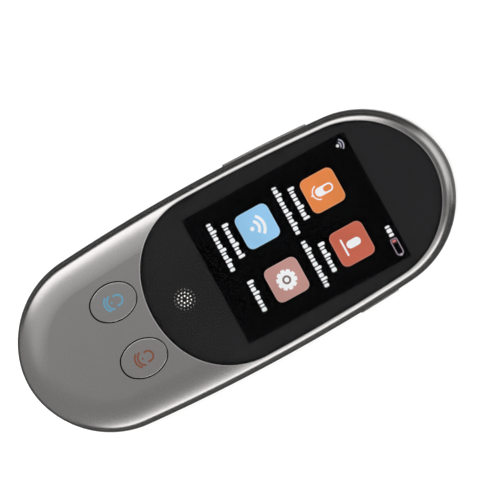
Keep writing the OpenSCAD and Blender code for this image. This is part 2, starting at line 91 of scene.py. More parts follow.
def photo_camera():
    """A long lens that looks down its own back vector, rolled so that the device lies
    across the picture as in the photograph."""
    back = Vector((0, math.sin(LENS_TILT), math.cos(LENS_TILT)))
    up_slope = Vector((0, math.cos(LENS_TILT), -math.sin(LENS_TILT)))
    side = Vector((1, 0, 0))
    right = side * math.sin(LONG_AXIS_TURN) + up_slope * math.cos(LONG_AXIS_TURN)
    up = back.cross(right)
    lens = bpy.data.cameras.new("camera")
    lens.sensor_width = SENSOR
    lens.lens = SENSOR * CAMERA_DISTANCE / VIEW_WIDTH
    lens.clip_start = 0.05
    lens.clip_end = 50
    camera = bpy.data.objects.new("camera", lens)
    turn = Matrix((right, up, back)).transposed().to_4x4()
    camera.matrix_world = Matrix.Translation(VIEW_CENTRE + back * CAMERA_DISTANCE) @ turn
    bpy.context.scene.collection.objects.link(camera)
    bpy.context.scene.camera = camera


photo_camera()

# ---------- light ----------

WORLD_LEVEL = 0.82
LAMP_DISTANCE = 0.7
POWER_PER_RADIANCE = 4  # watts that a square metre of lamp needs to show a brightness of 1
SIDE_LEAN, SIDE_LENGTH = -8, 0.9  # the side lamps' lean towards +Y in degrees, and their length
FLAG_DISTANCE, FLAG_REACH = 0.3, 0.5  # the side cards' place across, and half their length
FLAG_BLACK = (0.012, 0.012, 0.012)
FLOOR_FLAG_GAP, LEFT_GAP_EXTRA = 0.2, 3.3  # millimetres from the device to the floor sheets
FLOOR_FLAG_HEIGHT = 0.3  # millimetres above the floor
END_HEADINGS = (-26, 34)  # degrees from +Y towards +X between which the display end's sheet lies
CARD_DISTANCE, CARD_HALF = 0.45, 0.3  # the end card's place, and half its width


def tent():
    """An even pale surround, as a light tent gives."""
    world = bpy.data.worlds.new("tent")
    world.use_nodes = True
    sky = world.node_tree.nodes["Background"]
    sky.inputs["Color"].default_value = (1, 0.998, 0.995, 1)
    sky.inputs["Strength"].default_value = WORLD_LEVEL
    bpy.context.scene.world = world


def aim(side_angle, end_angle):
    """The direction that leans from overhead towards +X and towards +Y, in degrees."""
    across = math.tan(math.radians(side_angle))
    along = math.tan(math.radians(end_angle))
    return Vector((across, along, 1)).normalized()


def width_between(angles):
    """How wide a lamp at the lamp distance is when it spans two angles in degrees."""
    return 2 * LAMP_DISTANCE * math.tan(math.radians(abs(angles[1] - angles[0]) / 2))


def softbox(name, side_angles, radiance):
    """A long lamp beside the device and along it, between two angles from overhead towards
    +X."""
    towards = aim(sum(side_angles) / 2, SIDE_LEAN)
    place_lamp(name, towards, width_between(side_angles), SIDE_LENGTH, radiance)


def end_light(name, end_angles, width, radiance):
    """A wide lamp beyond an end of the device, between two angles towards +Y."""
    towards = aim(0, sum(end_angles) / 2)
    place_lamp(name, towards, width, width_between(end_angles), radiance)


def place_lamp(name, towards, width, length, radiance):
    """A rectangular lamp at the lamp distance that faces the middle of the view. Its power
    follows from the brightness that its face should show."""
    lamp = bpy.data.lights.new(name, "AREA")
    lamp.shape = "RECTANGLE"
    lamp.size = width
    lamp.size_y = length
    lamp.energy = POWER_PER_RADIANCE * radiance * width * length
    box = bpy.data.objects.new(name, lamp)
    box.location = VIEW_CENTRE + towards * LAMP_DISTANCE
    side = Vector((0, 1, 0)).cross(towards).normalized()
    turn = Matrix((side, towards.cross(side), towards)).transposed()
    box.rotation_euler = turn.to_euler()
    box.visible_camera = False
    bpy.context.scene.collection.objects.link(box)


def card(name, corners, colour, faces=((0, 1, 2, 3),)):
    """A board that the metal mirrors and the camera doesn't see, and that casts no shadow."""
    sheet = bpy.data.meshes.new(name)
    sheet.from_pydata(corners, [], faces)
    sheet.materials.append(matte(name, colour))
    board = bpy.data.objects.new(name, sheet)
    board.visible_camera = False
    board.visible_shadow = False
    bpy.context.scene.collection.objects.link(board)


def side_flag(name, side, angle):
    """A black card along the device that darkens its flank below an angle from overhead."""
    x, reach = side * FLAG_DISTANCE, FLAG_REACH
    top = FLAG_DISTANCE / math.tan(math.radians(angle))
    card(name, [(x, -reach, 0), (x, reach, 0), (x, reach, top), (x, -reach, top)], FLAG_BLACK)


def floor_flag(name, at_end, far, colour):
    """A dark sheet on the floor round the device, either at its display end or round the rest,
    that shows only in its mirrored flanks. It reaches out to the distance far, in
    millimetres, and on the left it starts a little further out."""
    points, normals = body_outline()
    inner = points + (FLOOR_FLAG_GAP - np.minimum(normals[:, :1], 0) * LEFT_GAP_EXTRA) * normals
    flat = np.concatenate([inner, points + far * normals])
    corners = np.concatenate([flat, np.full((len(flat), 1), FLOOR_FLAG_HEIGHT)], 1) * MM
    heading = np.degrees(np.arctan2(normals[:, 0], normals[:, 1]))
    kept = ((heading > END_HEADINGS[0]) & (heading < END_HEADINGS[1])) == at_end
    faces = [face for face, keep in zip(grid_faces(2, len(points)), kept) if keep]
    card(name, corners.tolist(), colour, faces)
    bpy.data.objects[name].visible_diffuse = False


def end_card(name, angles, colour):
    """A grey card beyond the display end, between two angles from overhead."""
    corners = []
    for angle, sides in zip(angles, ((-1, 1), (1, -1))):
        y = CARD_DISTANCE * math.sin(math.radians(angle))
        z = CARD_DISTANCE * math.cos(math.radians(angle))
        corners += [(side * CARD_HALF, y, z) for side in sides]
    card(name, corners, colour)


# ---------- materials ----------


def linear(srgb):
    """A screen colour from 0 to 255 as the linear colour that shows it."""
    share = np.array(srgb, float) / 255
    return tuple(np.where(share <= 0.04045, share / 12.92, ((share + 0.055) / 1.055) ** 2.4)) + (1,)


def new_material(name):
    """A material with its shader, and the tools to add nodes to it."""
    made = bpy.data.materials.new(name)
    made.use_nodes = True
    tree = made.node_tree
    return made, tree, tree.nodes["Principled BSDF"]


def grain(tree, scale, detail=3, roughness=0.6, stretch=(1, 1, 1)):
    """Noise over the object's own coordinates, in features of about 1 / scale metres."""
    place = tree.nodes.new("ShaderNodeTexCoord")
    mapping = tree.nodes.new("ShaderNodeMapping")
    mapping.inputs["Scale"].default_value = stretch
    noise = tree.nodes.new("ShaderNodeTexNoise")
    noise.inputs["Scale"].default_value = scale
    noise.inputs["Detail"].default_value = detail
    noise.inputs["Roughness"].default_value = roughness
    tree.links.new(place.outputs["Object"], mapping.inputs["Vector"])
    tree.links.new(mapping.outputs["Vector"], noise.inputs["Vector"])
    return noise.outputs["Fac"]


def ramp(tree, value, start, stop, low=0, high=1):
    """Runs from low to high as a value goes from start to stop, and stays there."""
    span = tree.nodes.new("ShaderNodeMapRange")
    span.inputs["From Min"].default_value = start
    span.inputs["From Max"].default_value = stop
    span.inputs["To Min"].default_value = low
    span.inputs["To Max"].default_value = high
    tree.links.new(value, span.inputs["Value"])
    return span.outputs["Result"]


def between(tree, noise, low, high):
    """Runs from low to high over the middle range of a noise."""
    return ramp(tree, noise, 0.3, 0.7, low, high)


def blend(tree, share, first, second):
    """Mixes a colour with a second one, which may come from another node."""
    mix = tree.nodes.new("ShaderNodeMix")
    mix.data_type = "RGBA"
    mix.inputs["A"].default_value = first
    if isinstance(second, tuple):
        mix.inputs["B"].default_value = second
    else:
        tree.links.new(second, mix.inputs["B"])
    tree.links.new(share, mix.inputs["Factor"])
    return mix.outputs["Result"]


def bump(tree, shader, height, strength, depth):
    """Lets a height pattern tilt the surface, depth in metres."""
    relief = tree.nodes.new("ShaderNodeBump")
    relief.inputs["Strength"].default_value = strength
    relief.inputs["Distance"].default_value = depth
    tree.links.new(height, relief.inputs["Height"])
    tree.links.new(relief.outputs["Normal"], shader.inputs["Normal"])


def tint(colour, factor):
    """A linear colour made lighter or darker."""
    return tuple(min(1, c * factor) for c in colour[:3]) + (1,)


def finish(name, colour, metallic=0.0, rough=(0.4, 0.5), spread=0.06, scale=900, relief=0.0,
           relief_scale=4000, stretch=(1, 1, 1), specular=0.5):
    """A surface of one colour that varies a little in tone and gloss, with fine relief."""
    made, tree, shader = new_material(name)
    tone = grain(tree, scale, stretch=stretch)
    colours = blend(tree, between(tree, tone, 0, 1), tint(colour, 1 - spread), tint(colour, 1 + spread))
    tree.links.new(colours, shader.inputs["Base Color"])
    shader.inputs["Metallic"].default_value = metallic
    shader.inputs["Specular IOR Level"].default_value = specular
    tree.links.new(between(tree, tone, *rough), shader.inputs["Roughness"])
    if relief:
        bump(tree, shader, grain(tree, relief_scale, stretch=stretch), 0.5, relief)
    return made


def matte(name, colour):
    """A plain dull surface with a faint mottle."""
    return finish(name, tuple(colour) + (1,), rough=(0.85, 0.95), spread=0.03, scale=40)


def arithmetic(tree, operation, first, second=None):
    """One step of arithmetic on values."""
    step = tree.nodes.new("ShaderNodeMath")
    step.operation = operation
    for socket, value in zip(step.inputs, (first, second)):
        if isinstance(value, float):
            socket.default_value = value
        elif value is not None:
            tree.links.new(value, socket)
    return step.outputs["Value"]


WELLS_ACROSS, WELLS_ALONG = 16 * MM, 7.5 * MM  # half the stretch that holds the two button wells
WELLS_FADE = 0.2 * MM
SHADE_BELOW, UNSHADED_ABOVE = 0.42 * MM, 0.36 * MM  # depths under the face: below the first the wells carry painted shade, above the second the metal shows


def outside_painted_well_shade(tree):
    """1 on the finished outside, and 0 on the flanges and walls down in the button wells, which carry
    painted shade.
    """
    place = tree.nodes.new("ShaderNodeTexCoord")
    split = tree.nodes.new("ShaderNodeSeparateXYZ")
    tree.links.new(place.outputs["Object"], split.inputs["Vector"])
    across = arithmetic(tree, "ABSOLUTE", split.outputs["X"])
    along = arithmetic(tree, "ABSOLUTE", arithmetic(tree, "SUBTRACT", split.outputs["Y"], button_y))
    beside = arithmetic(tree, "MAXIMUM", ramp(tree, across, WELLS_ACROSS, WELLS_ACROSS + WELLS_FADE),
                        ramp(tree, along, WELLS_ALONG, WELLS_ALONG + WELLS_FADE))
    above = ramp(tree, split.outputs["Z"], face_z - SHADE_BELOW, face_z - UNSHADED_ABOVE)
    return arithmetic(tree, "MAXIMUM", beside, above)


def blasted_metal(name, colour):
    """Bead-blasted, tinted metal: satin, with fine pits and a slow drift in tone. Down in
    the button wells it is painted near black as shade."""
    made, tree, shader = new_material(name)
    drift = grain(tree, 45, detail=2)
    pits = grain(tree, 7000, detail=4, roughness=0.7)
    colours = blend(tree, between(tree, drift, 0, 1), tint(colour, 0.985), tint(colour, 1.015))
    # painted shade: near black on the flanges and walls down in the button wells
    shown = blend(tree, outside_painted_well_shade(tree), linear((20, 20, 21)), colours)
    tree.links.new(shown, shader.inputs["Base Color"])
    shader.inputs["Metallic"].default_value = 1
    tree.links.new(between(tree, pits, 0.24, 0.29), shader.inputs["Roughness"])
    bump(tree, shader, pits, 0.12, 0.004 * MM)
    return made


def coated_glass(name):
    """Clear cover glass with an anti-glare coat."""
    made, tree, shader = new_material(name)
    smear = grain(tree, 60, detail=2)
    shader.inputs["Base Color"].default_value = (0.97, 0.98, 0.98, 1)
    shader.inputs["Transmission Weight"].default_value = 1
    shader.inputs["IOR"].default_value = 1.08
    tree.links.new(between(tree, smear, 0.0, 0.012), shader.inputs["Roughness"])
    return made


def lit(name, colour, depth=0.05):
    """A lit patch of the display: it gives its own light, which varies a touch across it."""
    made, tree, shader = new_material(name)
    drift = between(tree, grain(tree, 90, detail=1), 0, 1)
    shown = blend(tree, drift, tint(colour, 1 - depth), tint(colour, 1 + depth))
    shader.inputs["Base Color"].default_value = (0.004, 0.004, 0.005, 1)
    shader.inputs["Roughness"].default_value = 0.5
    shader.inputs["Specular IOR Level"].default_value = 0
    tree.links.new(shown, shader.inputs["Emission Color"])
    shader.inputs["Emission Strength"].default_value = 1
    return made


def woven_mesh(name, shade):
    """Fine woven wire, darkened by a factor of painted shade: two sets of waves crossed at a right angle."""
    made, tree, shader = new_material(name)
    place = tree.nodes.new("ShaderNodeTexCoord")
    heights = []
    for direction in ("X", "Y"):
        wave = tree.nodes.new("ShaderNodeTexWave")
        wave.bands_direction = direction
        wave.inputs["Scale"].default_value = 2200
        tree.links.new(place.outputs["Object"], wave.inputs["Vector"])
        heights.append(wave.outputs["Fac"])
    crossed = arithmetic(tree, "MULTIPLY", *heights)
    colours = blend(tree, crossed, tint((0.86, 0.84, 0.80), shade), tint((1, 0.98, 0.94), shade))
    tree.links.new(colours, shader.inputs["Base Color"])
    shader.inputs["Metallic"].default_value = 0.3
    shader.inputs["Roughness"].default_value = 0.45
    bump(tree, shader, crossed, 0.4, 0.02 * MM)
    return made


GUNMETAL = linear((120, 118.5, 118))
METAL = blasted_metal("shell_metal", GUNMETAL)
KEY_METAL = blasted_metal("key_metal", tint(GUNMETAL, 1.02))
# painted highlight: the shell's metal at 2.1 times its tone, for a light line round the glass's recess
PAINTED_HIGHLIGHT_METAL = blasted_metal("painted_highlight_edge", tint(GUNMETAL, 2.1))
GLASS = coated_glass("cover_glass_coated")
INK = finish("border_ink", linear((30, 29, 30)), rough=(0.6, 0.7), spread=0.04, scale=400, specular=0)
# black edge ink, which round the glass's side also serves as painted shade in the gap to the housing
EDGE_INK_AND_GAP_SHADE = finish("glass_edge_ink_and_gap_shade", linear((24, 24, 25)), rough=(0.6, 0.7), spread=0.04, scale=400,
                  specular=0)
BLUE_INK = finish("ink_blue", linear((76, 118, 138)), rough=(0.5, 0.6), spread=0.04, scale=3000,
                  specular=0.1)
RUST_INK = finish("ink_rust", linear((98, 58, 44)), rough=(0.5, 0.6), spread=0.05, scale=3000,
                  specular=0.1)
PANEL = finish("display_black", linear((2, 2, 3)), rough=(0.5, 0.6), spread=0.1, scale=2000, specular=0)
WEAVE = woven_mesh("speaker_weave", 1)
# painted shade: the weave at a quarter of its tone, for the outer ring of sound holes
PAINTED_SHADE_WEAVE = woven_mesh("painted_shade_weave", 0.25)
# painted shade: a black disc down in the microphone's notch
PORT_SHADE = finish("port_gauze", linear((12, 12, 12)), rough=(0.8, 0.9), spread=0.2, scale=5000, specular=0.1)
BLACK_PLASTIC = finish("black_plastic", linear((38, 38, 40)), relief=0.02 * MM, rough=(0.45, 0.6))
RUBBER = finish("soft_rubber", linear((34, 34, 36)), rough=(0.75, 0.9), relief=0.03 * MM)
FOAM = finish("gasket_foam", linear((30, 30, 31)), rough=(0.9, 1.0), relief=0.08 * MM, relief_scale=5000)
STEEL = finish("stamped_steel", linear((196, 196, 194)), metallic=1, rough=(0.22, 0.34), spread=0.03,
               relief=0.004 * MM, stretch=(1, 8, 1))
GILT = finish("gilt_can", linear((205, 180, 110)), metallic=1, rough=(0.25, 0.35), spread=0.04)
ZINC = finish("zinc_screw", linear((170, 172, 178)), metallic=1, rough=(0.28, 0.4), spread=0.08)
WHITE_PLASTIC = finish("light_guide", linear((222, 224, 226)), rough=(0.35, 0.5), spread=0.02)
FILM = finish("amber_film", linear((196, 122, 42)), rough=(0.3, 0.45), spread=0.08, stretch=(1, 6, 1))
BOARD = finish("green_board", linear((20, 74, 44)), rough=(0.3, 0.45), spread=0.25, scale=1500,
               relief=0.02 * MM, relief_scale=1500)
POUCH = finish("cell_pouch", linear((176, 179, 184)), metallic=0.7, rough=(0.35, 0.5), spread=0.05,
               relief=0.03 * MM, relief_scale=500)
TAPE = finish("battery_tape", linear((226, 216, 170)), rough=(0.5, 0.65), spread=0.04)
IVORY = finish("connector_ivory", linear((222, 216, 198)), rough=(0.4, 0.55), spread=0.03)
LAMINATE = finish("antenna_laminate", linear((44, 44, 46)), rough=(0.4, 0.5), spread=0.08)

NODE_FINISH = {
    "front_housing": METAL, "rear_cover": METAL, "cover_glass": GLASS, "glass_border": INK,
    "sound_mesh": WEAVE, "lcd_panel": PANEL, "lcd_backlight": WHITE_PLASTIC, "display_flex": FILM,
    "flex_connector": IVORY, "main_board": BOARD, "shield_can": STEEL, "loudspeaker": BLACK_PLASTIC,
    "speaker_gasket": FOAM, "bottom_microphone": GILT, "bottom_mic_boot": RUBBER,
    "top_microphone": GILT, "top_mic_boot": RUBBER, "port_shell": STEEL,
    "port_tongue": BLACK_PLASTIC, "battery": POUCH, "battery_tape": TAPE, "battery_tab": FILM,
    "battery_connector": IVORY, "antenna": LAMINATE, "board_screws": ZINC,
    "left_tact_switch": STEEL, "right_tact_switch": STEEL, "left_button_cap": KEY_METAL,
    "left_button_plunger": BLACK_PLASTIC, "right_button_cap": KEY_METAL,
    "right_button_plunger": BLACK_PLASTIC, "volume_key": KEY_METAL,
    "volume_switches": BLACK_PLASTIC, "power_key": KEY_METAL, "power_plunger": BLACK_PLASTIC,
    "power_switch": BLACK_PLASTIC,
}

for node_name, node_finish in NODE_FINISH.items():
    nodes[node_name].data.materials[0] = node_finish

# ---------- flat marks: grids of points, worked out as whole arrays ----------


def piece(name, points, faces, material, body):
    """Makes a mesh of the points and faces, and lets it ride on a body."""
    mesh = bpy.data.meshes.new(name)
    mesh.from_pydata(points.reshape(-1, 3).tolist(), [], faces)
    mesh.materials.append(material)
    mesh.update()
    made = bpy.data.objects.new(name, mesh)
    bpy.context.scene.collection.objects.link(made)
    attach(made, body)
    return made


def grid_faces(rows, columns, wrap_rows=False, wrap_columns=True):
    """Quads between neighbouring rows and columns. Where these wrap, the last is a neighbour
    of the first."""
    i = np.arange(rows if wrap_rows else rows - 1)[:, None]
    j = np.arange(columns if wrap_columns else columns - 1)[None, :]
    below = (i + 1) % rows
    beside = (j + 1) % columns
    quads = np.stack([i * columns + j, i * columns + beside, below * columns + beside,
                      below * columns + j], -1)
    return quads.reshape(-1, 4).tolist()


def plate(outline, low, high):
    """A flat plate inside an outline that goes counterclockwise round its own middle. Rings
    of points run from near the middle of the top out to the edge, down the edge, and back in
    below: ring k is the middle plus share k of the way to the outline."""
    centre = outline.mean(0)
    shares = np.array([0.02, 0.5, 1, 1, 0.5, 0.02])
    heights = np.array([high, high, high, low, low, low])
    flat = centre + shares[:, None, None] * (outline - centre)[None]
    rings = np.concatenate([flat, np.broadcast_to(heights[:, None, None], flat.shape[:2] + (1,))], -1)
    count = len(outline)
    faces = [face[::-1] for face in grid_faces(len(shares), count)]
    faces.append(list(range(count)))
    last = (len(shares) - 1) * count
    faces.append([last + k for k in reversed(range(count))])
    return rings.reshape(-1, 3), faces


def stroke(path, width, low, high, closed=False):
    """A flat band of one width along a path: at each point the path's own normal, times
    half the width, gives the two edges, and the band's section is a small rectangle."""
    ahead = np.roll(path, -1, 0) - np.roll(path, 1, 0)
    if not closed:
        ahead[0] = path[1] - path[0]
        ahead[-1] = path[-1] - path[-2]
    ahead /= np.linalg.norm(ahead, axis=1, keepdims=True)
    side = np.stack([ahead[:, 1], -ahead[:, 0]], -1) * width / 2
    offsets = np.array([1, 1, -1, -1])
    heights = np.array([low, high, high, low])
    flat = path[:, None] + offsets[None, :, None] * side[:, None]
    band = np.concatenate([flat, np.broadcast_to(heights[None, :, None], flat.shape[:2] + (1,))], -1)
    faces = grid_faces(len(path), 4, closed)
    if not closed:
        last = (len(path) - 1) * 4
        faces.append([3, 2, 1, 0])
        faces.append([last, last + 1, last + 2, last + 3])
    return band.reshape(-1, 3), faces


def arc(centre, radius, start, stop, count=32):
    """Points on a circle between two angles in degrees."""
    turn = np.radians(np.linspace(start, stop, count))
    return np.array(centre) + radius * np.stack([np.cos(turn), np.sin(turn)], -1)


def disc(centre, radius, count=32):
    """A full circle as an outline."""
    return arc(centre, radius, 0, 360, count + 1)[:-1]


def rounded_box(centre, width, height, corner, count=8):
    """A rectangle with round corners as an outline: four quarter arcs in turn."""
    x, y = width / 2 - corner, height / 2 - corner
    quarters = [arc((sx * x, sy * y), corner, start, start + 90, count)
                for sx, sy, start in ((1, 1, 0), (-1, 1, 90), (-1, -1, 180), (1, -1, 270))]
    return np.concatenate(quarters) + np.array(centre)


def cog(centre, tip, root, teeth, count=24):
    """A gear wheel as an outline: wide teeth at the tip radius, with narrow notches down to
    the root radius between them."""
    turn = np.linspace(0, 2 * np.pi, teeth * count, endpoint=False)
    swing = np.clip(5 * (np.cos(teeth * turn) + 0.62), -1, 1)
    radius = (tip + root) / 2 + swing * (tip - root) / 2
    return np.array(centre) + radius[:, None] * np.stack([np.cos(turn), np.sin(turn)], -1)


def capsule_path(centre, radius, reach, count=24):
    """An upright open loop: up one side, over a half circle, and down the other side."""
    x, y = centre
    over = arc((x, y), radius, 0, 180, count)
    return np.concatenate([[(x + radius, y - reach)], over, [(x - radius, y - reach)]])


def join(name, shapes, material, body):
    """Several flat shapes as one piece. Shapes are given in millimetres."""
    points, faces, first = [], [], 0
    for shape_points, shape_faces in shapes:
        points.append(shape_points)
        faces += [[first + k for k in face] for face in shape_faces]
        first += len(shape_points)
    return piece(name, np.concatenate(points) * MM, faces, material, body)


# ---------- the display's picture ----------

PICTURE_Z = panel_top_z / MM
LAYER, LAYER_GAP = 0.02, 0.002  # one layer of the picture, and the gap under it
OVERPRINT = 0.006  # thickness of a detail that lies on a layer
TILE = 9.65
TILE_CORNER = 1.75
RIM_INSET, RIM_WIDTH = 0.1, 0.16
LEFT_COLUMN, RIGHT_COLUMN = -7.5, 8.3
UPPER_ROW, LOWER_ROW = 31.4, 11.7
BLOCK_PITCH, GOLDEN = 1.06, 0.618  # a label's blocks: their mean distance, and their walk's step
ORANGE, RED, BLUE, PINK = (227, 132, 69), (195, 98, 76), (147, 198, 234), (189, 141, 133)
WHITE = lit("picture_white", linear((238, 238, 240)), depth=0.02)

# the label rows under the tiles: each one's left and right ends, and its base line
LABELS = (("orange", -12.2, -2.95, 23.35), ("orange_low", -14.3, -0.6, 19.65),
          ("red", 4.1, 12.5, 23.35), ("red_low", 1.6, 15.0, 19.65),
          ("blue", -12.2, -2.3, 3.4), ("blue_low", -14.2, -0.3, -0.25),
          ("pink", 3.9, 12.8, 2.05))


def on_layer(level):
    """The heights between which a layer of the picture lies."""
    low = PICTURE_Z + level * LAYER
    return low + LAYER_GAP, low + LAYER


def show(name, shapes, material):
    """Shapes of the picture, as one piece that stays with the display."""
    join(name, shapes, material, "device")


def tile(name, x, y, colour):
    """A coloured tile with round corners, and a thin paler rim."""
    low, high = on_layer(0)
    outline = rounded_box((x, y), TILE, TILE, TILE_CORNER)
    show(name, [plate(outline, low, high)], lit(name, linear(colour), depth=0.06))
    pale = np.array(colour) * 0.72 + 70
    rim = rounded_box((x, y), TILE - 2 * RIM_INSET, TILE - 2 * RIM_INSET, TILE_CORNER - RIM_INSET)
    show(name + "_rim", [stroke(rim, RIM_WIDTH, high, high + OVERPRINT, closed=True)],
         lit(name + "_rim", linear(pale)))


def wave_shapes(x, y, waves, width, dot):
    """A dot with arcs above it, as for a radio link. A wave is a radius and a half spread."""
    low, high = on_layer(1)
    arcs = [stroke(arc((x, y), radius, 90 - spread, 90 + spread), width, low, high)
            for radius, spread in waves]
    return arcs + [plate(disc((x, y), dot), low, high)]


def label_row(name, left, right, base, tall=1.8, small=1.3, gap=0.28):
    """A label as a row of small round-cornered blocks. Their widths and heights follow the
    fractions of a golden-ratio walk, so that they don't repeat. Each label's left edge says
    where its walk starts."""
    low, high = on_layer(1)
    k = np.arange(round((right - left) / BLOCK_PITCH))
    walk = (GOLDEN * k + 0.13 * left) % 1
    swing = 0.55 + 0.9 * walk
    widths = swing * (right - left - gap * (len(k) - 1)) / swing.sum()
    middles = left + np.cumsum(widths + gap) - gap - widths / 2
    heights = np.where((walk > 0.3) & (walk < 0.55), tall, small)
    blocks = []
    for x, width, height in zip(middles, widths, heights):
        outline = rounded_box((x, base + height / 2), width, height, min(0.3, width * 0.45), 4)
        blocks.append(plate(outline, low, high))
    show("label_" + name, blocks, WHITE)


def signs():
    """A generic sign on each tile."""
    low, high = on_layer(1)

    # a microphone half filled, in its cradle
    x, y = LEFT_COLUMN, UPPER_ROW
    show("mark_cradle_microphone",
         [plate(rounded_box((x, y + 0.5), 2.4, 5.1, 1.19), low, high),
          stroke(arc((x, y - 0.85), 1.95, 192, 348), 0.32, low, high),
          stroke(np.array([(x, y - 2.75), (x, y - 3.35)]), 0.4, low, high)], WHITE)
    show("mark_cradle_hollow",
         [plate(rounded_box((x, y + 1.45), 1.55, 2.35, 0.76), high, high + OVERPRINT)],
         lit("cradle_hollow", linear(ORANGE)))

    # a microphone above a line
    x, y = RIGHT_COLUMN, UPPER_ROW
    show("mark_stand_microphone",
         [plate(rounded_box((x - 0.05, y + 0.55), 2.15, 4.0, 1.05), low, high),
          plate(rounded_box((x, y - 2.2), 4.8, 0.5, 0.24), low, high)], WHITE)

    # a radio link
    x, y = LEFT_COLUMN - 0.05, LOWER_ROW - 1.5
    show("mark_link", wave_shapes(x, y, ((1.95, 55), (3.4, 49)), 0.8, 0.58), WHITE)

    # a cog with a ring hollow
    x, y = RIGHT_COLUMN + 0.05, LOWER_ROW
    show("mark_cog", [plate(cog((x, y), 2.8, 2.3, 10), low, high)], WHITE)
    show("mark_cog_hollow", [stroke(disc((x, y), 0.92), 0.55, high, high + OVERPRINT, closed=True)],
         lit("cog_hollow", linear((128, 106, 104))))


def status_line():
    """A small radio link at the left, and the battery's level at the right."""
    low, high = on_layer(1)
    label_row("level", 8.6, 11.6, 41.0, tall=1.3, small=1.3, gap=0.3)
    waves = wave_shapes(-15.72, 40.54, ((0.92, 54), (1.65, 55)), 0.24, 0.4)
    show("status_link", waves[:-1], lit("status_pale", linear((196, 198, 218))))
    show("status_link_dot", waves[-1:], WHITE)
    x, y = 14.5, 41.5
    show("status_cell", [stroke(rounded_box((x, y), 4.4, 1.75, 0.45), 0.15, low, high, closed=True),
                         plate(rounded_box((x + 2.45, y), 0.28, 0.8, 0.1), low, high)],
         lit("status_violet", linear((186, 172, 190))))
    show("status_level", [plate(rounded_box((x - 1.55, y), 0.7, 1.05, 0.2), low, high)],
         lit("status_red", linear((204, 112, 110))))


def picture():
    """Four tiles with generic signs, rows of blocks for the labels, and a status line."""
    tile("tile_orange", LEFT_COLUMN, UPPER_ROW, ORANGE)
    tile("tile_red", RIGHT_COLUMN, UPPER_ROW, RED)
    tile("tile_blue", LEFT_COLUMN, LOWER_ROW, BLUE)
    tile("tile_pink", RIGHT_COLUMN, LOWER_ROW, PINK)
    signs()
    for name, left, right, base in LABELS:
        label_row(name, left, right, base)
    status_line()


picture()

# ---------- button marks ----------

MARK_WIDTH = 0.54
MARK_DEPTH = 0.012  # of which half stands proud of the cap


def button_mark(name, cap, ink, body):
    """A microphone's loop with a dot under it and two arcs below, printed on a cap."""
    x, y = (value / MM for value in middle(cap))
    high = face_z / MM + MARK_DEPTH / 2
    low = high - MARK_DEPTH
    shapes = [stroke(capsule_path((x, y + 1.3), 1.36, 0.75), MARK_WIDTH, low, high),
              stroke(arc((x, y + 0.27), 1.92, 197, 343), MARK_WIDTH, low, high),
              stroke(arc((x, y - 0.2), 2.3, 212, 328), MARK_WIDTH, low, high),
              plate(disc((x, y - 0.4), 0.26), low, high)]
    join(name, shapes, ink, body)


button_mark("left_mark", "left_button_cap", BLUE_INK, "left_button")
button_mark("right_mark", "right_button_cap", RUST_INK, "right_button")

# ---------- bright inserts in the sound holes ----------

RING_PITCH = 0.9
HOLE_RADIUS = 0.225  # of the inner ring's holes
HOLE_STEP = 0.035  # how much smaller the holes of the next ring are
INSERT_DEPTH, INSERT_THICKNESS = 0.12, 0.3
INSERT_CLEARANCE = 0.01


def sound_inserts():
    """A small round of woven wire near the mouth of each hole: rings of six, twelve and
    eighteen, smaller outwards. The outer ring lies over the mesh's dark rim, and its weave carries painted
    shade."""
    centre = np.array(middle("sound_mesh")) / MM
    high = face_z / MM - INSERT_DEPTH
    for ring, weave in ((1, WEAVE), (2, WEAVE), (3, PAINTED_SHADE_WEAVE)):
        radius = HOLE_RADIUS - (ring - 1) * HOLE_STEP - INSERT_CLEARANCE
        turn = np.radians(90 + np.arange(6 * ring) * 60 / ring)
        spots = centre + ring * RING_PITCH * np.stack([np.cos(turn), np.sin(turn)], -1)
        inserts = [plate(disc(spot, radius, 12), high - INSERT_THICKNESS, high) for spot in spots]
        join("sound_inserts_%d" % ring, inserts, weave, "device")


sound_inserts()

# ---------- the rolled edge's skin, its painted highlight line, the glass's black edge with painted shade in its gap, and painted shade in the notch ---

GLASS_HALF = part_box("cover_glass")[1].x / MM
GLASS_INSET, GLASS_SETBACK = 2.6, 0.4  # from the body's side, and from its display end besides
SIDE_WAY, CORNER_WAY = (0.99712, 0.07584), (0.352, 0.936)  # towards the points where arcs meet
SIDE_TURN, CORNER_TURN = (math.degrees(math.atan2(way[1], way[0])) for way in (SIDE_WAY, CORNER_WAY))
SIDE_EXTRA, CORNER_EXTRA, LOWER_EXTRA = 500, 4, 5.5  # how much one arc's radius exceeds the next's
LOWER_TURN_Y = -2.5  # where the glass's side turns into its lower end


def upper_arcs(half, drop):
    """The three tangent arcs from the side to the top for a half width, moved down by a drop:
    each is its centre, radius, two angles and number of points."""
    corner = half + CORNER_WAY[0] * CORNER_EXTRA - (1 - SIDE_WAY[0]) * SIDE_EXTRA
    turn_y = SIDE_WAY[1] * SIDE_EXTRA - drop
    return [((half - corner - SIDE_EXTRA, -drop), corner + SIDE_EXTRA, 0, SIDE_TURN, 40),
            ((-CORNER_WAY[0] * CORNER_EXTRA, turn_y), corner, SIDE_TURN, CORNER_TURN, 70),
            ((0, turn_y + CORNER_WAY[1] * CORNER_EXTRA), corner - CORNER_EXTRA, CORNER_TURN, 90, 24)]


def along_arcs(arcs):
    """Points on arcs in turn, and their outward normals, each arc without its last point."""
    turns = [np.radians(np.linspace(start, stop, count))[:-1] for _, _, start, stop, count in arcs]
    normals = [np.stack([np.cos(turn), np.sin(turn)], -1) for turn in turns]
    points = [np.array(a[0]) + a[1] * normal for a, normal in zip(arcs, normals)]
    return np.concatenate(points), np.concatenate(normals)


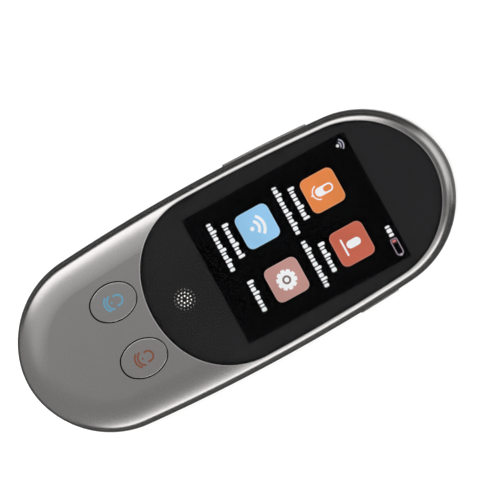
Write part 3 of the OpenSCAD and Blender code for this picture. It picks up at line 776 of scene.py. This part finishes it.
def glass_outline(inset):
    """The glass's outline at an inset, counterclockwise: up the right side from the lower
    end, and the mirror image down the left."""
    low = GLASS_HALF - CORNER_WAY[0] * LOWER_EXTRA
    lower = [((0, LOWER_TURN_Y + CORNER_WAY[1] * LOWER_EXTRA), low + LOWER_EXTRA, -90, -CORNER_TURN, 30),
             ((CORNER_WAY[0] * LOWER_EXTRA, LOWER_TURN_Y), low, -CORNER_TURN, 0, 70)]
    arcs = lower + upper_arcs(GLASS_HALF, GLASS_SETBACK)
    points, normals = along_arcs(arcs)
    top = np.array([[0, arcs[-1][0][1] + arcs[-1][1] - inset]])
    right = np.concatenate([points - inset * normals, top])
    return np.concatenate([right, right[1:-1][::-1] * np.array([-1, 1])])


def body_outline():
    """The body's outline and its outward normals, counterclockwise: the quarter of three
    arcs, and its mirror images."""
    points, normals = along_arcs(upper_arcs(GLASS_HALF + GLASS_INSET, 0))
    top = upper_arcs(GLASS_HALF + GLASS_INSET, 0)[-1]
    points = np.concatenate([points, [(0, top[0][1] + top[1])]])
    normals = np.concatenate([normals, [(0, 1)]])
    flip = np.array([-1, 1])
    upper = [np.concatenate([a, a[:-1][::-1] * flip]) for a in (points, normals)]
    return [np.concatenate([a, a[1:-1] * -1]) for a in upper]


SHOULDER_R, CROWN_R = 3, 20
SHOULDER_IN = SHOULDER_R * (1 - CORNER_WAY[0])  # how far in the shoulder runs into the crown
SKIN_START = math.radians(83.4)  # tilt from upright where the skin begins, above the side keys
SKIN_HEIGHT = 0.006
SKIN_ROWS, SKIN_CROWDING = 44, 1.25  # rows of points, closer together towards the side
SHARP_FROM = math.radians(14)
RECESS_GAP = 0.17  # from the glass's edge out to the wall of its recess
LIP, LIP_STEP, LIP_ROWS = 0.2, 0.03, 4
# the painted highlight line round the glass's recess: its width, its gap from the recess, and its depth
HIGHLIGHT_WIDTH, HIGHLIGHT_GAP, HIGHLIGHT_DEPTH = 0.16, 0.01, 0.03


def crown_tilt(inset):
    """The crown's tilt at an inset from the body's outline. Its sine starts as the shoulder's
    last, and falls by the further inset over the crown's radius."""
    return np.arcsin(np.clip(CORNER_WAY[0] - (inset - SHOULDER_IN) / CROWN_R, 0, 1))


def skin_ends(points, normals):
    """How far in the skin goes from each outline point: to the glass's recess, or to the
    flat face. The recess's outline is convex, so the inward line meets it at the last edge
    line that it enters."""
    flat = SHOULDER_IN + CROWN_R * CORNER_WAY[0]
    rim = glass_outline(-RECESS_GAP)
    ahead = np.roll(rim, -1, 0) - rim
    outward = np.stack([ahead[:, 1], -ahead[:, 0]], -1)
    gaps = points @ outward.T - (outward * rim).sum(1)
    rates = normals @ outward.T
    crossings = gaps / np.where(rates == 0, 1e-9, rates)
    enters = np.where(rates > 0, crossings, -np.inf).max(1)
    leaves = np.where(rates < 0, crossings, np.inf).min(1)
    return np.where(enters < leaves, np.minimum(enters, flat), flat)


def rolled_edge():
    """The finished skin of the housing's rolled edge, a hair above the solid, as an even
    grid. Tilt a goes from the side up to the face. On the shoulder the inset is
    r (1 - sin a) and the height r cos a, and the crown goes on from there with its own
    radius. A level lip, one small step up, closes it against the glass's recess, and the
    last two rows close the skin from below."""
    points, normals = body_outline()
    last_tilt = crown_tilt(skin_ends(points, normals) - LIP)
    share = np.linspace(0, 1, SKIN_ROWS)[:, None] ** SKIN_CROWDING
    tilt = SKIN_START + share * (last_tilt[None] - SKIN_START)
    on_crown = np.sin(tilt) < CORNER_WAY[0]
    crown_top = face_z / MM - CROWN_R
    shoulder_top = crown_top + (CROWN_R - SHOULDER_R) * CORNER_WAY[1]
    inset = np.where(on_crown, SHOULDER_IN + CROWN_R * (CORNER_WAY[0] - np.sin(tilt)),
                     SHOULDER_R * (1 - np.sin(tilt)))
    height = np.where(on_crown, crown_top + CROWN_R * np.cos(tilt), shoulder_top + SHOULDER_R * np.cos(tilt))
    lips = np.linspace(LIP_STEP, LIP, LIP_ROWS)[:, None]
    level = np.zeros((LIP_ROWS, len(points)))
    lip_height = np.minimum(height[-1:] + LIP * np.tan(last_tilt), face_z / MM)
    inset = np.concatenate([inset, inset[-1:] + lips])
    height = np.concatenate([height, lip_height + level])
    tilt = np.concatenate([tilt, level])
    rows = []
    for lift, keep in ((SKIN_HEIGHT, slice(None)), (-SKIN_HEIGHT * 3, [-1, 0])):
        flat = points[None] - (inset[keep] - lift * np.sin(tilt[keep]))[..., None] * normals[None]
        rows.append(np.concatenate([flat, (height[keep] + lift * np.cos(tilt[keep]))[..., None]], -1))
    grid = np.concatenate(rows)
    faces = grid_faces(*grid.shape[:2], wrap_rows=True)
    skin = piece("housing_edge_skin", grid * MM, faces, METAL, "device")
    skin.data.shade_smooth()
    skin.data.set_sharp_from_angle(angle=SHARP_FROM)


def recess_edge():
    """A fine line of painted highlight on the metal round the glass's recess, a narrow band along the
    recess's outline. Its height at each point is the crown's at that distance in from the
    body's outline, which is the least distance to the outline's tangents."""
    rim = glass_outline(-RECESS_GAP)
    points, normals = body_outline()
    inset = ((points[None] - rim[:, None]) * normals[None]).sum(-1).min(1)
    height = face_z / MM - CROWN_R * (1 - np.cos(crown_tilt(inset)))
    path = glass_outline(-RECESS_GAP - HIGHLIGHT_GAP - HIGHLIGHT_WIDTH / 2)
    band, faces = stroke(path, HIGHLIGHT_WIDTH, -HIGHLIGHT_DEPTH, 2 * SKIN_HEIGHT, closed=True)
    band.reshape(len(rim), 4, 3)[..., 2] += height[:, None]
    piece("recess_bright_edge", band * MM, faces, PAINTED_HIGHLIGHT_METAL, "device")


def glass_band(name, inner, outer, low, high):
    """A band of black ink along the glass's outline, between two insets and two heights. Round the glass's
    side it also serves as painted shade in the gap.
    """
    path = glass_outline((inner + outer) / 2)
    join(name, [stroke(path, inner - outer, low, high, closed=True)], EDGE_INK_AND_GAP_SHADE, "device")


def glass_edge():
    """Black print from the mask out to the glass's edge, and black edge ink round its side, which also
    serves as painted shade in the gap to the housing.
    """
    under, face = glass_under_z / MM, face_z / MM
    glass_band("glass_edge_print", 0.65, 0.01, under - 0.026, under - 0.004)
    # painted shade: a black rim as edge ink in the gap between the glass's side and its recess
    glass_band("glass_edge_rim", -0.03, -0.11, under - 0.1, face - 0.5)


PORT_SHADE_RADIUS, PORT_SHADE_INSET = 0.62, 0.3  # its middle lies inside the glass's end


def port_gauze():
    """A black round over the microphone's port, down in the notch: painted shade for the port's hole. It
    starts within the printed mask and ends just under the glass."""
    spot = disc((0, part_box("cover_glass")[1].y / MM - PORT_SHADE_INSET), PORT_SHADE_RADIUS)
    low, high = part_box("glass_border")[0].z / MM + 0.1, glass_under_z / MM - 0.001
    join("port_gauze", [plate(spot, low, high)], PORT_SHADE, "device")


rolled_edge()
recess_edge()
glass_edge()
port_gauze()

# ---------- stage ----------

FLOOR_LIFT = 0.16
FLOOR_HALF, FLOOR_LINES = 4, 17


def floor_paper():
    """Dull white paper that shows a little lighter than it is lit, to the camera and in
    metal and glass."""
    made = matte("floor_paper", (0.88, 0.88, 0.875))
    tree = made.node_tree
    shader = tree.nodes["Principled BSDF"]
    rays = tree.nodes.new("ShaderNodeLightPath")
    seen = arithmetic(tree, "MAXIMUM", rays.outputs["Is Camera Ray"],
                      arithmetic(tree, "MAXIMUM", rays.outputs["Is Glossy Ray"],
                                 rays.outputs["Is Transmission Ray"]))
    shader.inputs["Emission Color"].default_value = (1, 1, 1, 1)
    tree.links.new(arithmetic(tree, "MULTIPLY", seen, FLOOR_LIFT), shader.inputs["Emission Strength"])
    return made


def floor():
    """A wide pale sheet: a square grid of points."""
    ground = bpy.data.meshes.new("floor")
    lines = np.linspace(-FLOOR_HALF, FLOOR_HALF, FLOOR_LINES)
    across, along = np.meshgrid(lines, lines)
    points = np.stack([across, along, np.zeros_like(across)], -1)
    faces = grid_faces(FLOOR_LINES, FLOOR_LINES, wrap_columns=False)
    ground.from_pydata(points.reshape(-1, 3).tolist(), [], faces)
    ground.materials.append(floor_paper())
    sheet = bpy.data.objects.new("floor", ground)
    bpy.context.scene.collection.objects.link(sheet)


floor()
tent()
softbox("left_strip", side_angles=(-50, -34), radiance=4.5)
softbox("left_fill", side_angles=(-34, -5), radiance=0.75)
softbox("right_strip", side_angles=(42, 64), radiance=4.0)
end_light("top_light", end_angles=(47, 88), width=0.6, radiance=1.8)
side_flag("left_flag", side=-1, angle=54)
side_flag("right_flag", side=1, angle=66)
floor_flag("floor_flag", at_end=False, far=130, colour=(0.1, 0.1, 0.1))
floor_flag("end_flag", at_end=True, far=18, colour=(0.25, 0.25, 0.25))
end_card("top_card", angles=(24, 40), colour=(0.2, 0.2, 0.2))

bpy.context.scene.view_settings.view_transform = "Standard"
